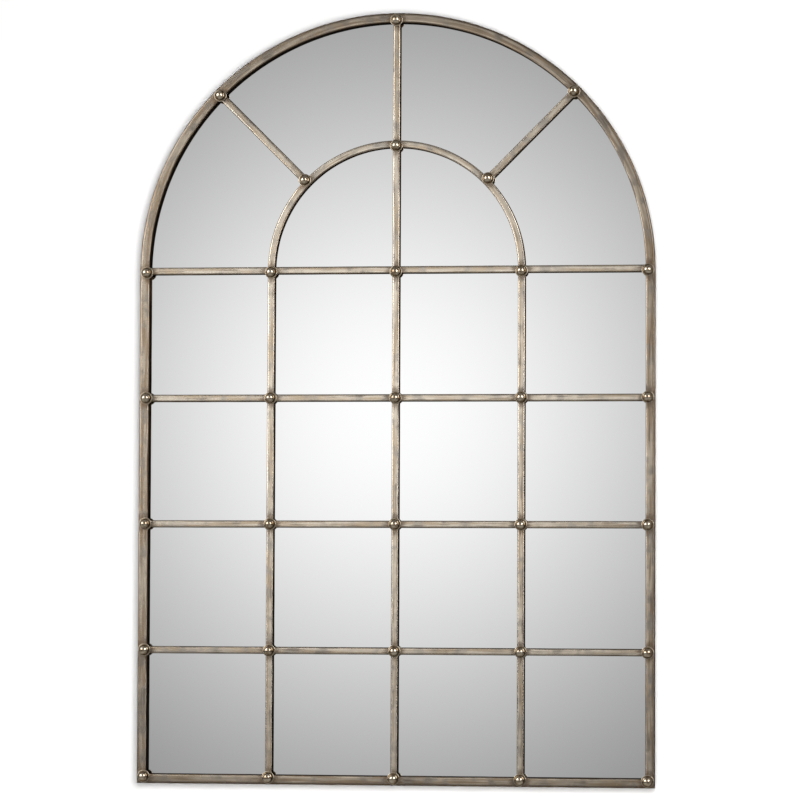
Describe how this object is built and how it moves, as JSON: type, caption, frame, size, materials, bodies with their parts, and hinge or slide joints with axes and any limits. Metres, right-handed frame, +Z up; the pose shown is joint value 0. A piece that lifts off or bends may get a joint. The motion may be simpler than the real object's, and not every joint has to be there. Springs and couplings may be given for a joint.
{
  "type": "arched wall mirror",
  "caption": "Tall round-topped wall mirror in a metal window frame: flat-bar rim, grid and fan of glazing bars, ball studs at the crossings, one glass behind, ring hangers on the back.",
  "frame": {"origin": "on the wall plane, midway between the two hanger rings, at the height of their pivots", "axes": "+Z up, front (glass) faces -Y, +Y points to the wall, +X to the right seen from the front"},
  "size_m": [1.118, 0.0607, 1.6619],
  "materials": {
    "aged_silver_rim": "aged silver leaf over dark brown, satin, rubbed at the edges",
    "champagne_lattice": "champagne silver leaf, satin, dark glaze in the corners",
    "antiqued_stud": "burnished antique silver with brown glaze round the foot",
    "dark_steel_band": "dark brown paint, matt",
    "silvered_glass": "polished float glass, silvered behind",
    "black_foam": "closed-cell foam, matt",
    "backing_fibreboard": "bare fibreboard, matt",
    "zinc_plate": "zinc plated, satin",
    "bumper_rubber": "black rubber, matt"
  },
  "bodies": {
    "mirror": {"arch_bar": "aged_silver_rim", "left_stile": "aged_silver_rim", "right_stile": "aged_silver_rim", "bottom_rail": "aged_silver_rim", "left_mullion": "champagne_lattice", "centre_mullion": "champagne_lattice", "right_mullion": "champagne_lattice", "inner_arch_left": "champagne_lattice", "inner_arch_right": "champagne_lattice", "spring_rail_bay_1": "champagne_lattice", "spring_rail_bay_2": "champagne_lattice", "spring_rail_bay_3": "champagne_lattice", "spring_rail_bay_4": "champagne_lattice", "upper_rail_bay_1": "champagne_lattice", "upper_rail_bay_2": "champagne_lattice", "upper_rail_bay_3": "champagne_lattice", "upper_rail_bay_4": "champagne_lattice", "middle_rail_bay_1": "champagne_lattice", "middle_rail_bay_2": "champagne_lattice", "middle_rail_bay_3": "champagne_lattice", "middle_rail_bay_4": "champagne_lattice", "lower_rail_bay_1": "champagne_lattice", "lower_rail_bay_2": "champagne_lattice", "lower_rail_bay_3": "champagne_lattice", "lower_rail_bay_4": "champagne_lattice", "left_spoke": "champagne_lattice", "right_spoke": "champagne_lattice", "crossing_collars": "antiqued_stud", "rim_collars": "antiqued_stud", "crossing_studs": "antiqued_stud", "rim_studs": "antiqued_stud", "arch_band": "dark_steel_band", "left_band": "dark_steel_band", "right_band": "dark_steel_band", "bottom_band": "dark_steel_band", "mirror_glass": "silvered_glass", "glazing_gasket": "black_foam", "lattice_pads": "black_foam", "retaining_tabs": "dark_steel_band", "tab_screws": "zinc_plate", "backing_board": "backing_fibreboard", "hanger_screws": "zinc_plate", "left_hanger_plate": "dark_steel_band", "left_hanger_strap": "zinc_plate", "right_hanger_plate": "dark_steel_band", "right_hanger_strap": "zinc_plate", "wall_bumpers": "bumper_rubber"},
    "left_ring": {"left_hanger_ring": "zinc_plate"},
    "right_ring": {"right_hanger_ring": "zinc_plate"}
  },
  "joints": [
    {"name": "left_ring_swing", "type": "hinge", "parent": "mirror", "child": "left_ring", "pos_m": [-0.532, -0.0051, 0], "axis": [1, 0, 0], "range_deg": [0, 180]},
    {"name": "right_ring_swing", "type": "hinge", "parent": "mirror", "child": "right_ring", "pos_m": [0.532, -0.0051, 0], "axis": [1, 0, 0], "range_deg": [0, 180]}
  ]
}
